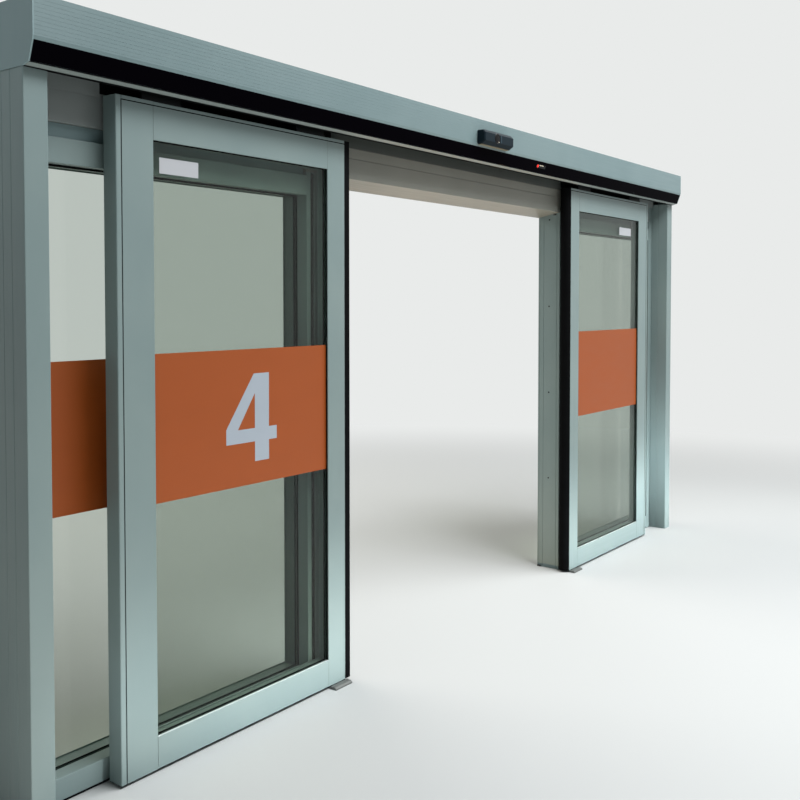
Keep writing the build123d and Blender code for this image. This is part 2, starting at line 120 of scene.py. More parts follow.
def powderCoat(name, baseHex, driftHex, stretch):
    # stretch draws the die lines out along the bar
    s = coatSettings
    material, tree, shader, place = startMaterial(name, {"Specular IOR Level": s["shine"]})
    drift = addNode(tree, "ShaderNodeTexNoise", {},
                    {"Vector": place, "Scale": 1 / s["driftPitch"], "Detail": 3.0})
    tone = addNode(tree, "ShaderNodeMapRange", {},
                   {"Value": drift.outputs["Fac"], "From Min": 0.35, "From Max": 0.65})
    addNode(tree, "ShaderNodeMix", {"data_type": "RGBA"},
            {"Factor": tone.outputs["Result"], "A": colour(baseHex), "B": colour(driftHex)},
            {"Result": shader.inputs["Base Color"]})
    drawn = addNode(tree, "ShaderNodeMapping", {}, {"Vector": place, "Scale": stretch})
    lines = addNode(tree, "ShaderNodeTexNoise", {},
                    {"Vector": drawn.outputs["Vector"], "Scale": 1 / s["linePitch"], "Detail": 2.0})
    smooth, matt = s["roughness"]
    addNode(tree, "ShaderNodeMapRange", {},
            {"Value": lines.outputs["Fac"], "From Min": 0.3, "From Max": 0.7,
             "To Min": smooth, "To Max": matt},
            {"Result": shader.inputs["Roughness"]})
    peel = addNode(tree, "ShaderNodeTexNoise", {},
                   {"Vector": place, "Scale": 1 / s["peelPitch"], "Detail": 1.0})
    addNode(tree, "ShaderNodeBump", {},
            {"Height": peel.outputs["Fac"], "Strength": 0.5, "Distance": s["peelDepth"]},
            {"Normal": shader.inputs["Normal"]})
    return material


# gloss black acrylic: a deep clean reflection with a faint haze of fine wiping marks
def glossAcrylic():
    material, tree, shader, place = startMaterial(
        "glossAcrylic", {"Base Color": colour("#040306"), "IOR": 1.12, "Specular IOR Level": 0.05})
    marksPerMetre = 14.0
    drawn = addNode(tree, "ShaderNodeMapping", {}, {"Vector": place, "Scale": (0.6, 8.0, 8.0)})
    marks = addNode(tree, "ShaderNodeTexNoise", {},
                    {"Vector": drawn.outputs["Vector"], "Scale": marksPerMetre, "Detail": 4.0})
    addNode(tree, "ShaderNodeMapRange", {}, {"Value": marks.outputs["Fac"], "To Min": 0.1, "To Max": 0.3},
            {"Result": shader.inputs["Roughness"]})
    return material


# EPDM rubber, extruded: dull black with a slight bloom and a fine grain, drawn coarse enough to show
def epdmRubber():
    material, tree, shader, place = startMaterial("epdmRubber", {"IOR": 1.5, "Specular IOR Level": 0.03})
    bloom = addNode(tree, "ShaderNodeTexNoise", {}, {"Vector": place, "Scale": 1 / (60 * mm), "Detail": 5.0})
    addNode(tree, "ShaderNodeMix", {"data_type": "RGBA"},
            {"Factor": bloom.outputs["Fac"], "A": colour("#040405"), "B": colour("#0C0D0E")},
            {"Result": shader.inputs["Base Color"]})
    addNode(tree, "ShaderNodeMapRange", {}, {"Value": bloom.outputs["Fac"], "To Min": 0.5, "To Max": 0.8},
            {"Result": shader.inputs["Roughness"]})
    grain = addNode(tree, "ShaderNodeTexNoise", {}, {"Vector": place, "Scale": 1 / (3 * mm), "Detail": 1.0})
    addNode(tree, "ShaderNodeBump", {},
            {"Height": grain.outputs["Fac"], "Strength": 0.4, "Distance": 0.1 * mm},
            {"Normal": shader.inputs["Normal"]})
    return material


# laminated fire glass with clear gel layers and a low-reflection coat: a light cool cast, a barely wavy face
def fireGlass():
    material, tree, shader, place = startMaterial(
        "fireGlass",
        {"Base Color": colour("#CCD3CD"), "Roughness": 0.0, "IOR": 1.25, "Transmission Weight": 1.0})
    wave = addNode(tree, "ShaderNodeTexNoise", {}, {"Vector": place, "Scale": 1 / (260 * mm), "Detail": 1.0})
    addNode(tree, "ShaderNodeBump", {},
            {"Height": wave.outputs["Fac"], "Strength": 0.3, "Distance": 0.4 * mm},
            {"Normal": shader.inputs["Normal"]})
    # light passes straight through, so the panes throw a pale shadow
    clear = addNode(tree, "ShaderNodeBsdfTransparent", {}, {"Color": colour("#D2D5CC")})
    path = addNode(tree, "ShaderNodeLightPath")
    addNode(tree, "ShaderNodeMixShader", {},
            {"Fac": path.outputs["Is Shadow Ray"], 1: shader.outputs["BSDF"], 2: clear.outputs["BSDF"]},
            {"Shader": tree.nodes["Material Output"].inputs["Surface"]})
    return material


# cast vinyl film on glass: even satin colour, with a faint mottle from the squeegee
def castVinyl(name, baseHex, mottleHex, roughness):
    material, tree, shader, place = startMaterial(name, {"IOR": 1.5, "Specular IOR Level": 0.35})
    drawn = addNode(tree, "ShaderNodeMapping", {}, {"Vector": place, "Scale": (1.0, 1.0, 3.0)})
    mottle = addNode(tree, "ShaderNodeTexNoise", {},
                     {"Vector": drawn.outputs["Vector"], "Scale": 1 / (180 * mm), "Detail": 3.0})
    addNode(tree, "ShaderNodeMix", {"data_type": "RGBA"},
            {"Factor": mottle.outputs["Fac"], "A": colour(baseHex), "B": colour(mottleHex)},
            {"Result": shader.inputs["Base Color"]})
    addNode(tree, "ShaderNodeMapRange", {},
            {"Value": mottle.outputs["Fac"], "To Min": roughness - 0.06, "To Max": roughness + 0.06},
            {"Result": shader.inputs["Roughness"]})
    addNode(tree, "ShaderNodeBump", {},
            {"Height": mottle.outputs["Fac"], "Strength": 0.15, "Distance": 0.3 * mm},
            {"Normal": shader.inputs["Normal"]})
    return material


# moulded ABS: a spark-eroded grain that softens the shine, really under 0.5 mm and drawn coarser to show
def mouldedAbs(name, baseHex, lightHex, roughness, shine=0.5):
    material, tree, shader, place = startMaterial(
        name, {"IOR": 1.53, "Roughness": roughness, "Specular IOR Level": shine})
    grain = addNode(tree, "ShaderNodeTexNoise", {},
                    {"Vector": place, "Scale": 1 / (2.5 * mm), "Detail": 2.0})
    addNode(tree, "ShaderNodeMix", {"data_type": "RGBA"},
            {"Factor": grain.outputs["Fac"], "A": colour(baseHex), "B": colour(lightHex)},
            {"Result": shader.inputs["Base Color"]})
    addNode(tree, "ShaderNodeBump", {},
            {"Height": grain.outputs["Fac"], "Strength": 0.3, "Distance": 0.08 * mm},
            {"Normal": shader.inputs["Normal"]})
    return material


# drawn, blackened or zinc-plated metal, told by its lines and blotches, with the lines drawn coarser to show
def linedMetal(name, baseHex, blotchHex, roughness, linePitch, stretch):
    material, tree, shader, place = startMaterial(name, {"Metallic": 1.0})
    blotch = addNode(tree, "ShaderNodeTexNoise", {},
                     {"Vector": place, "Scale": 1 / (45 * mm), "Detail": 4.0})
    addNode(tree, "ShaderNodeMix", {"data_type": "RGBA"},
            {"Factor": blotch.outputs["Fac"], "A": colour(baseHex), "B": colour(blotchHex)},
            {"Result": shader.inputs["Base Color"]})
    drawn = addNode(tree, "ShaderNodeMapping", {}, {"Vector": place, "Scale": stretch})
    lines = addNode(tree, "ShaderNodeTexNoise", {},
                    {"Vector": drawn.outputs["Vector"], "Scale": 1 / linePitch, "Detail": 3.0})
    addNode(tree, "ShaderNodeMapRange", {},
            {"Value": lines.outputs["Fac"], "To Min": roughness - 0.1, "To Max": roughness + 0.12},
            {"Result": shader.inputs["Roughness"]})
    addNode(tree, "ShaderNodeBump", {},
            {"Height": lines.outputs["Fac"], "Strength": 0.3, "Distance": 0.05 * mm},
            {"Normal": shader.inputs["Normal"]})
    return material


# lit diode under a clear dome
def litDiode():
    material, tree, shader, place = startMaterial(
        "litDiode", {"Base Color": colour("#7A0B08"), "Roughness": 0.15, "Emission Strength": 2.2})
    glow = addNode(tree, "ShaderNodeTexNoise", {}, {"Vector": place, "Scale": 1 / (2 * mm), "Detail": 0.0})
    addNode(tree, "ShaderNodeMix", {"data_type": "RGBA"},
            {"Factor": glow.outputs["Fac"], "A": colour("#FF2A14"), "B": colour("#E01208")},
            {"Result": shader.inputs["Emission Color"]})
    return material


alongX = (0.02, 1.0, 1.0)
alongZ = (1.0, 1.0, 0.02)
barCoat = powderCoat("barCoat", "#708080", "#768584", alongZ)
railCoat = powderCoat("railCoat", "#708080", "#768584", alongX)
fasciaCoat = powderCoat("fasciaCoat", "#66797B", "#6C7E80", alongX)
# painted highlight: a pale coat for the lit top edge of the leaves' bottom rails
paintedHighlightCoat = powderCoat("paintedHighlightCoat", "#B7C2C1", "#BDC8C7", alongX)
capCoat = powderCoat("capCoat", "#728688", "#788C8E", alongZ)
panelCoat = powderCoat("panelCoat", "#767D7C", "#7C8281", alongX)
# painted shade: the header beam is coated dark for the shade inside the header
shadedBeamCoat = powderCoat("shadedBeamCoat", "#3C4240", "#424846", alongX)
# painted light: a lighter coat for the lit front of the header's lip
paintedLightLipCoat = powderCoat("paintedLightLipCoat", "#798280", "#7F8886", alongX)
transomCoat = powderCoat("transomCoat", "#727670", "#787C76", alongX)
darkMetal = linedMetal("darkMetal", "#3A3D3F", "#46494B", 0.45, 4 * mm, alongX)
zincSteel = linedMetal("zincSteel", "#B3B5B0", "#C9C9C0", 0.38, 9 * mm, (1.0, 1.0, 1.0))
guideSteel = linedMetal("guideSteel", "#737674", "#818482", 0.72, 6 * mm, alongX)
blackSteel = linedMetal("blackSteel", "#1D1F20", "#292B2C", 0.45, 3 * mm, (1.0, 1.0, 1.0))
blackStrip = glossAcrylic()
rubber = epdmRubber()
glass = fireGlass()
bandFilm = castVinyl("bandFilm", "#863F11", "#8C4213", 0.45)
digitFilm = castVinyl("digitFilm", "#8F98A2", "#959DA6", 0.48)
labelFilm = castVinyl("labelFilm", "#A6A8AC", "#A0A2A6", 0.5)
sensorAbs = mouldedAbs("sensorAbs", "#0C181E", "#121F27", 0.42, 0.08)
lensAbs = mouldedAbs("lensAbs", "#030406", "#07080B", 0.2, 0.1)
paleAbs = mouldedAbs("paleAbs", "#A39D8C", "#ABA596", 0.45)
dullAbs = mouldedAbs("dullAbs", "#6B6A5B", "#737262", 0.6, 0.2)
lineAbs = mouldedAbs("lineAbs", "#3A4E58", "#42565F", 0.4, 0.2)
blackNylon = mouldedAbs("blackNylon", "#0E0F10", "#161718", 0.5)
pileBrush = mouldedAbs("pileBrush", "#0B0B0C", "#1E1E20", 0.9)
jointFill = mouldedAbs("jointFill", "#2F3635", "#363D3C", 0.6)
redDiode = litDiode()

# which finish each kind of CAD node takes
nodeFinish = {
    "transom": transomCoat,
    # the beam's dark coat is painted shade
    "header_beam": shadedBeamCoat,
    "header_cover": fasciaCoat,
    "header_dark_strip": blackStrip,
    "track_rail": zincSteel,
    "drive_motor": darkMetal,
    "idler_pulley": darkMetal,
    "drive_belt": rubber,
    "motion_sensor": sensorAbs,
    "post": barCoat,
    "jamb": barCoat,
    "sidelight_stile": barCoat,
    "sidelight_top_rail": railCoat,
    "sidelight_bottom_rail": railCoat,
    "sidelight_glass": glass,
    "head_panel": panelCoat,
    "floor_guide": guideSteel,
    "header_end_cap": capCoat,
    "leaf_outer_stile": barCoat,
    "leaf_meeting_stile": barCoat,
    "leaf_top_rail": railCoat,
    "leaf_bottom_rail": railCoat,
    "leaf_edge_cap": barCoat,
    "leaf_glass": glass,
    "leaf_meeting_seal": rubber,
    "leaf_bottom_seal": rubber,
    "leaf_carriages": blackSteel,
}
for name, node in nodes.items():
    kind = name.removeprefix("left_").removeprefix("right_")
    node.data.materials.clear()
    node.data.materials.append(nodeFinish[kind])
print("finishes on the frame's nodes")


def innerEnd(side, name):
    # X of the end that faces the passage
    low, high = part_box(f"{side}_{name}")
    return low.x if outwardOf[side] > 0 else high.x


def outerEnd(side, name):
    # X of the end that faces the post
    low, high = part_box(f"{side}_{name}")
    return high.x if outwardOf[side] > 0 else low.x


def addBox(bm, low, high):
    size = Vector(high) - Vector(low)
    place = Matrix.Translation((Vector(high) + Vector(low)) / 2)
    made = bmesh.ops.create_cube(bm, size=1.0, matrix=place @ Matrix.Diagonal((*size, 1.0)))
    return made["verts"]


def bevelEdges(bm, edges, width, segments=2):
    bmesh.ops.bevel(bm, geom=edges, offset=width, offset_type="OFFSET", segments=segments,
                    profile=0.5, affect="EDGES", material=-1)


def raiseFaces(bm, faces, shift):
    # pulls a flat sheet out into a closed solid
    made = bmesh.ops.extrude_face_region(bm, geom=faces)
    moved = [item for item in made["geom"] if isinstance(item, bmesh.types.BMVert)]
    bmesh.ops.translate(bm, vec=shift, verts=moved)


def finishPiece(bm, name, material, body):
    bmesh.ops.recalc_face_normals(bm, faces=bm.faces)
    mesh = bpy.data.meshes.new(name)
    bm.to_mesh(mesh)
    bm.free()
    mesh.materials.append(material)
    piece = bpy.data.objects.new(name, mesh)
    bpy.context.scene.collection.objects.link(piece)
    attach(piece, body)
    return piece


def makeBlock(name, low, high, material, body, edge=None, along=None):
    # a plain block; edge is the round on all its edges, or only on those along one axis
    bm = bmesh.new()
    addBox(bm, low, high)
    chosen = bm.edges[:]
    if along:
        chosen = [e for e in chosen if abs(getattr(e.verts[0].co - e.verts[1].co, along)) > hair]
    if edge:
        bevelEdges(bm, chosen, edge)
    finishPiece(bm, name, material, body)


def paneOf(side, kind):
    # the clear opening round a pane, and the two faces of its glass
    if kind == "leaf":
        ends = [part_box(f"{side}_leaf_outer_stile"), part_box(f"{side}_leaf_meeting_stile")]
    else:
        ends = [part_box(f"{side}_sidelight_stile"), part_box(f"{side}_jamb")]
    ends.sort(key=lambda corners: corners[0].x)
    low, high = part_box(f"{side}_{kind}_glass")
    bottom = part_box(f"{side}_{kind}_bottom_rail")[1].z
    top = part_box(f"{side}_{kind}_top_rail")[0].z
    return {"x": (ends[0][1].x, ends[1][0].x), "z": (bottom, top), "y": (low.y, high.y)}


def bodyOf(side, kind):
    return f"{side}_leaf" if kind == "leaf" else "frame"


# rubber gaskets that hold the glass, front and back, seen as a thin black line round each pane
gasketSettings = {
    "behindLip": 4 * mm, "width": 6.2 * mm, "rise": 2.4 * mm, "round": 0.8 * mm, "fromGlass": 0.05 * mm,
}


def makeGasket(side, kind, face):
    s = gasketSettings
    pane = paneOf(side, kind)
    outward = -1 if face == "front" else 1
    surface = pane["y"][0] if face == "front" else pane["y"][1]
    start = surface + outward * s["fromGlass"]
    (x0, x1), (z0, z1) = pane["x"], pane["z"]
    r = s["behindLip"]
    bm = bmesh.new()
    corners = [(x0 - r, z0 - r), (x1 + r, z0 - r), (x1 + r, z1 + r), (x0 - r, z1 + r)]
    sheet = bm.faces.new([bm.verts.new((x, start, z)) for x, z in corners])
    sheet.normal_update()       # the inset needs it
    ring = bmesh.ops.inset_individual(bm, faces=[sheet], thickness=s["width"])["faces"]
    bmesh.ops.delete(bm, geom=[sheet], context="FACES_ONLY")
    raiseFaces(bm, ring, (0, outward * s["rise"], 0))
    raised = start + outward * s["rise"]
    inner = [e for e in bm.edges if all(abs(v.co.y - raised) < hair for v in e.verts)
             and all(x0 < v.co.x < x1 and z0 < v.co.z < z1 for v in e.verts)]
    bevelEdges(bm, inner, s["round"])
    finishPiece(bm, f"{side}_{kind}_gasket_{face}", rubber, bodyOf(side, kind))


for side in sides:
    for kind in paneKinds:
        for face in ("front", "back"):
            makeGasket(side, kind, face)
print("gaskets")

# ledge that fills the lowered step behind each bottom rail's front lip, and on the leaves' a pale strip
# along the rail's top edge that is a painted highlight
ledgeSettings = {
    "behindFace": 3 * mm, "fromGlass": 2.6 * mm, "depth": 3.8 * mm, "endGap": 0.3 * mm, "sink": 0.1 * mm,
    "highlightBehindFace": 0.3 * mm, "highlightZ": (0.02 * mm, 1 * mm),
}


def makeLedge(side, kind):
    s = ledgeSettings
    pane = paneOf(side, kind)
    low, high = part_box(f"{side}_{kind}_bottom_rail")
    x0, x1 = pane["x"][0] + s["endGap"], pane["x"][1] - s["endGap"]
    back = pane["y"][0] - s["fromGlass"]
    makeBlock(f"{side}_{kind}_ledge",
              (x0, low.y + s["behindFace"], high.z - s["depth"]), (x1, back, high.z - s["sink"]),
              railCoat, bodyOf(side, kind))
    if kind == "leaf":
        z0, z1 = s["highlightZ"]
        # painted highlight: a pale strip along the rail's top edge
        makeBlock(f"{side}_{kind}_highlight_bead",
                  (x0, low.y + s["highlightBehindFace"], high.z + z0), (x1, back, high.z + z1),
                  paintedHighlightCoat, bodyOf(side, kind))


for side in sides:
    for kind in paneKinds:
        makeLedge(side, kind)

# coloured film across the glass at eye level
bandSettings = {
    "leaf": (888 * mm, 1382 * mm), "sidelight": (878 * mm, 1366 * mm),
    "thickness": 0.12 * mm, "fromGlass": 0.05 * mm,
}


def makeBand(side, kind):
    s = bandSettings
    pane = paneOf(side, kind)
    (x0, x1), (z0, z1) = pane["x"], s[kind]
    front = pane["y"][0] - s["fromGlass"]
    makeBlock(f"{side}_{kind}_film_band", (x0, front - s["thickness"], z0), (x1, front, z1),
              bandFilm, bodyOf(side, kind))


for side in sides:
    for kind in paneKinds:
        makeBand(side, kind)

# the plain number four on the left leaf's band: millimetres from the pane's outer edge and from the floor
digitSettings = {
    "stemLeft": 460, "stemRight": 532,
    "topLeft": 455, "topRight": 533,
    "top": 1292, "foot": 970,
    "barLow": 1043, "barHigh": 1092,
    "armEnd": 573, "noseStart": 319,
    "strokeTop": 1220, "counterStart": 375,
    "noseHigh": 1098,
    "thickness": 0.12 * mm,
    "fromGlass": 0.22 * mm,
}


def makeDigit():
    s = digitSettings
    pane = paneOf("left", "leaf")
    left = pane["x"][0]
    front = pane["y"][0] - s["fromGlass"]
    outline = [
        (s["topLeft"], s["top"]), (s["topRight"], s["top"]), (s["stemRight"], s["barHigh"]),
        (s["armEnd"], s["barHigh"]), (s["armEnd"], s["barLow"]), (s["stemRight"], s["barLow"]),
        (s["stemRight"], s["foot"]), (s["stemLeft"], s["foot"]), (s["stemLeft"], s["barLow"]),
        (s["noseStart"], s["barLow"]), (s["noseStart"], s["noseHigh"]),
    ]
    counter = [
        (s["stemLeft"], s["strokeTop"]), (s["stemLeft"], s["barHigh"]), (s["counterStart"], s["barHigh"]),
    ]
    bm = bmesh.new()
    edges = []
    for line in (outline, counter):
        points = [bm.verts.new((left + u * mm, front, w * mm)) for u, w in line]
        edges += [bm.edges.new((a, b)) for a, b in zip(points, points[1:] + points[:1])]
    faces = bmesh.ops.triangle_fill(bm, use_beauty=True, edges=edges)["geom"]
    raiseFaces(bm, [f for f in faces if isinstance(f, bmesh.types.BMFace)], (0, -s["thickness"], 0))
    finishPiece(bm, "left_leaf_number", digitFilm, "left_leaf")


makeDigit()

# bare white labels near the top of each leaf's glass
labelSettings = {
    "left": ((-1921 * mm, -1755 * mm), (1973 * mm, 2025 * mm)),     # X and Z
    "right": ((1676 * mm, 1850 * mm), (1973 * mm, 2021 * mm)),
    "thickness": 0.15 * mm, "fromGlass": 0.05 * mm, "corner": 1 * mm,
}


def makeLabel(side):
    s = labelSettings
    (x0, x1), (z0, z1) = s[side]
    front = paneOf(side, "leaf")["y"][0] - s["fromGlass"]
    makeBlock(f"{side}_leaf_label", (x0, front - s["thickness"], z0), (x1, front, z1),
              labelFilm, bodyOf(side, "leaf"), s["corner"], "y")


for side in sides:
    makeLabel(side)
print("films and labels")

# hairline joints where the rails butt against the stiles
jointSettings = {"width": 0.6 * mm, "proud": 0.06 * mm, "endGap": 2 * mm}


def makeJoints(side, kind):
    s = jointSettings
    half = s["width"] / 2
    bm = bmesh.new()
    for rail in ("bottom_rail", "top_rail"):
        low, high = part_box(f"{side}_{kind}_{rail}")
        z0, z1 = low.z + s["endGap"], high.z - s["endGap"]
        for x in (low.x, high.x):
            addBox(bm, (x - half, low.y - s["proud"], z0), (x + half, low.y, z1))
            if kind == "leaf":
                addBox(bm, (x - half, high.y, z0), (x + half, high.y + s["proud"], z1))
    finishPiece(bm, f"{side}_{kind}_joint_lines", jointFill, bodyOf(side, kind))


for side in sides:
    for kind in paneKinds:
        makeJoints(side, kind)
print("joint lines")

# pile seal in the groove down each jamb's front: a strip of short bristle tufts behind the leaf
brushSettings = {
    "fromPassage": 104 * mm, "width": 8 * mm, "sideGap": 0.5 * mm, "endGap": 1 * mm,
    "base": 3 * mm, "baseProud": 0.4 * mm, "reach": 11.5 * mm,
    "tuftPitch": 6 * mm, "tuftWidth": 4.6 * mm, "tuftShare": 0.7, "firstTuft": 0.8,
    "tip": (0.6, 1.0, 1.1),         # the tips narrow across the strip and spread along it
    "lean": (0.7 * mm, 2.4),        # how far, and the beat from one tuft to the next
    "uneven": (0.5 * mm, 1.7),
}


def makeBrush(side):
    s = brushSettings
    low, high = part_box(f"{side}_jamb")
    middle = innerEnd(side, "jamb") + outwardOf[side] * (s["fromPassage"] + s["width"] / 2)
    front = low.y
    half = s["width"] / 2 - s["sideGap"]
    bm = bmesh.new()
    addBox(bm, (middle - half, front - s["baseProud"], low.z + s["endGap"]),
           (middle + half, front + s["base"], high.z - s["endGap"]))
    count = int((high.z - low.z - s["tuftPitch"]) / s["tuftPitch"])
    across = half * s["tuftShare"]
    (lean, leanBeat), (uneven, unevenBeat) = s["lean"], s["uneven"]
    for index in range(count):
        z = low.z + s["tuftPitch"] * (index + s["firstTuft"])
        tuft = addBox(bm, (middle - across, front - s["reach"], z - s["tuftWidth"] / 2),
                      (middle + across, front - s["baseProud"], z + s["tuftWidth"] / 2))
        tips = [v for v in tuft if v.co.y < front - s["reach"] / 2]
        bmesh.ops.scale(bm, vec=s["tip"], space=Matrix.Translation((-middle, 0, -z)), verts=tips)
        shift = (math.sin(index * leanBeat) * lean, math.cos(index * unevenBeat) * uneven, 0)
        bmesh.ops.translate(bm, vec=shift, verts=tips)
    finishPiece(bm, f"{side}_jamb_brush_seal", pileBrush, "frame")


for side in sides:
    makeBrush(side)
print("brush seals")

# painted shade: black strips in and beside the shadow grooves, by each leaf's edge cap and along its top,
# front and back, stand for the grooves' shade and reach wider than the grooves
grooveShadeSettings = {
    "width": 3.6 * mm, "grooveWidth": 2 * mm, "depth": 2.5 * mm, "proud": 0.08 * mm, "topDrop": 13 * mm,
    "endGap": 1 * mm, "step": 0.01 * mm,        # the lying strip stands this far inside the upright one
}


def makeGrooveShadeStrips(side):
    s = grooveShadeSettings
    low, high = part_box(f"{side}_leaf_edge_cap")
    sign = outwardOf[side]
    middle = innerEnd(side, "leaf_edge_cap") + sign * s["grooveWidth"] / 2
    x0, x1 = sorted((innerEnd(side, "leaf_meeting_stile") + sign * s["endGap"], middle))
    z = high.z - s["topDrop"]
    half = s["width"] / 2
    bm = bmesh.new()
    # the black strips are painted shade, wider than the grooves they sit in
    for face, outward in ((low.y, -1), (high.y, 1)):
        y0, y1 = sorted((face + outward * s["proud"], face - outward * s["depth"]))
        addBox(bm, (middle - half, y0, low.z + s["endGap"]), (middle + half, y1, z + half))
        addBox(bm, (x0, y0 + s["step"], z - half), (x1, y1 - s["step"], z + half - s["step"]))
    finishPiece(bm, f"{side}_leaf_groove_fillers", rubber, bodyOf(side, "leaf"))


for side in sides:
    makeGrooveShadeStrips(side)

# black sealing strip between the floor and each side light's bottom rail
floorSealSettings = {"setback": 5 * mm, "endGap": 0.5 * mm, "lift": 0.2 * mm, "round": 2 * mm}


def makeFloorSeal(side):
    s = floorSealSettings
    low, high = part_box(f"{side}_sidelight_bottom_rail")
    makeBlock(f"{side}_sidelight_floor_seal",
              (low.x + s["endGap"], low.y + s["setback"], s["lift"]),
              (high.x - s["endGap"], high.y - s["setback"], low.z - s["lift"]),
              rubber, "frame", s["round"], "x")


for side in sides:
    makeFloorSeal(side)

# coated cover strip in the set-back band at the foot of each head panel
bandTrimSettings = {
    "setback": 20 * mm, "height": 46 * mm, "thickness": 1.5 * mm, "gap": 0.5 * mm, "sink": 0.1 * mm,
    "edge": 0.6 * mm,
}


def makeBandTrim(side):
    s = bandTrimSettings
    low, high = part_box(f"{side}_head_panel")
    back = low.y + s["setback"] - s["sink"]
    makeBlock(f"{side}_head_band_strip",
              (low.x + s["gap"], back - s["thickness"], low.z + s["gap"]),
              (high.x - s["gap"], back, low.z + s["height"] - s["gap"]),
              capCoat, "frame", s["edge"])


for side in sides:
    makeBandTrim(side)

# on the beam's wall: a coated cover plate between leaf and post, and a black sheet behind the leaf's top
# that is painted shade for the dark inside of the header
wallPlateSettings = {
    "wall": 8 * mm, "thickness": 1 * mm, "sink": 0.3 * mm, "edge": 0.3 * mm, "endGap": 0.5 * mm,
    "pastLeaf": 8 * mm,         # where the plate starts, beyond the leaf's edge
    "pastStile": 3 * mm,        # where the black shade sheet starts, behind the meeting stile
    "plateZ": (2196 * mm, 2256 * mm), "shadeSheetZ": (2206 * mm, 2256 * mm),
}


def makeWallPlate(side):
    s = wallPlateSettings
    sign = outwardOf[side]
    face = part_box("header_beam")[1].y - s["wall"]
    inner = innerEnd(side, "leaf_meeting_stile") + sign * s["pastStile"]
    split = outerEnd(side, "leaf_edge_cap") + sign * s["pastLeaf"]
    outer = innerEnd(side, "post") - sign * s["endGap"]
    for name, ends, (z0, z1), material, slotName in (
        ("beam_wall_plate", (split, outer), s["plateZ"], panelCoat, "grey_green_paint"),
        # painted shade: the black sheet stands for the shade inside the header behind the leaf
        ("beam_shade_sheet", (inner, split - sign * s["endGap"]), s["shadeSheetZ"], rubber, "black_rubber"),
    ):
        x0, x1 = sorted(ends)
        makeBlock(f"{side}_{name}", (x0, face - s["thickness"], z0), (x1, face + s["sink"], z1),
                  material, "frame", s["edge"])


for side in sides:
    makeWallPlate(side)
print("shade_strips, floor seals, band strips and wall plates")

# pan-head screws with a cross recess down the passage face of each jamb
screwSettings = {
    "radius": 4.5 * mm, "rise": 1.6 * mm, "round": 1.1 * mm, "facets": 20,
    "slot": (1.1 * mm, 5.2 * mm), "slotRise": (0.6, 1.01),      # shares of the head's rise
    "fromFront": 67 * mm, "heights": (528 * mm, 1028 * mm, 1528 * mm, 2028 * mm),
}


def addScrew(bm, place):
    # the head is drawn at the origin, away from those already placed, and then turned to face outwards
    s = screwSettings
    made = bmesh.ops.create_cone(bm, cap_ends=True, segments=s["facets"], radius1=s["radius"],
                                 radius2=s["radius"], depth=s["rise"],
                                 matrix=Matrix.Translation((0, 0, s["rise"] / 2)))
    fresh = set(made["verts"])
    rim = [e for e in bm.edges if all(v in fresh and v.co.z > s["rise"] - hair for v in e.verts)]
    bevelEdges(bm, rim, s["round"], 3)
    head = [v for v in bm.verts if v.co.length < 3 * s["radius"]]
    bmesh.ops.transform(bm, matrix=place, verts=head)


def addRecess(bm, place):
    s = screwSettings
    width, length = s["slot"]
    z0, z1 = [share * s["rise"] for share in s["slotRise"]]
    verts = []
    for across, up in ((width, length), (length, width)):
        verts += addBox(bm, (-across / 2, -up / 2, z0), (across / 2, up / 2, z1))
    bmesh.ops.transform(bm, matrix=place, verts=verts)


def makeJambScrews(side):
    s = screwSettings
    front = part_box(f"{side}_jamb")[0].y
    face = innerEnd(side, "jamb")
    turn = Matrix.Rotation(-outwardOf[side] * math.pi / 2, 4, "Y")
    heads = bmesh.new()
    recesses = bmesh.new()
    for height in s["heights"]:
        place = Matrix.Translation((face, front + s["fromFront"], height)) @ turn
        addScrew(heads, place)
        addRecess(recesses, place)
    finishPiece(heads, f"{side}_jamb_screws", blackSteel, "frame")
    finishPiece(recesses, f"{side}_jamb_screw_recesses", blackNylon, "frame")


for side in sides:
    makeJambScrews(side)

# black corner plug under the transom and a small dark foot at the back of each jamb
plugSettings = {
    "fromFront": (22 * mm, 41 * mm), "height": 7 * mm, "reach": 3 * mm, "round": 0.8 * mm,
    "topDrop": 7.6 * mm,        # below the jamb's top, clear of the transom's sloping underside
}
footSettings = {"fromBack": (24 * mm, 2 * mm), "height": 9 * mm, "reach": 6 * mm, "round": 1.2 * mm}


def makeJambTrims(side):
    low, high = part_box(f"{side}_jamb")
    face = innerEnd(side, "jamb")
    for name, s, (y0, y1), top in (
        ("corner_plug", plugSettings, [low.y + d for d in plugSettings["fromFront"]],
         high.z - plugSettings["topDrop"]),
        ("foot_pad", footSettings, [high.y - d for d in footSettings["fromBack"]], footSettings["height"]),
    ):
        x0, x1 = sorted((face, face - outwardOf[side] * s["reach"]))
        makeBlock(f"{side}_jamb_{name}", (x0, y0, top - s["height"]), (x1, y1, top),
                  blackNylon, "frame", s["round"])


for side in sides:
    makeJambTrims(side)
print("jamb fittings")

# status light on the sloping black strip: a low oblong lens with a lit diode and a small pale window
lightSettings = {
    "x": (440 * mm, 536 * mm), "height": 18 * mm, "rise": 2.5 * mm, "round": 1.2 * mm,
    "middleZ": 2257 * mm, "dotX": 453 * mm, "dotRadius": 7 * mm, "dotFlat": 0.4, "dotFacets": (20, 10),
    "markX": (468 * mm, 512 * mm), "markHeight": (2.5 * mm, 7.5 * mm), "markRise": (-0.2 * mm, 0.4 * mm),
    "slope": (-20.5, 58),                       # the black strip's run towards the front and its rise
    "slopeFoot": (23 * mm, 2224 * mm),          # its lower edge: back from the cover's front, and Z
}


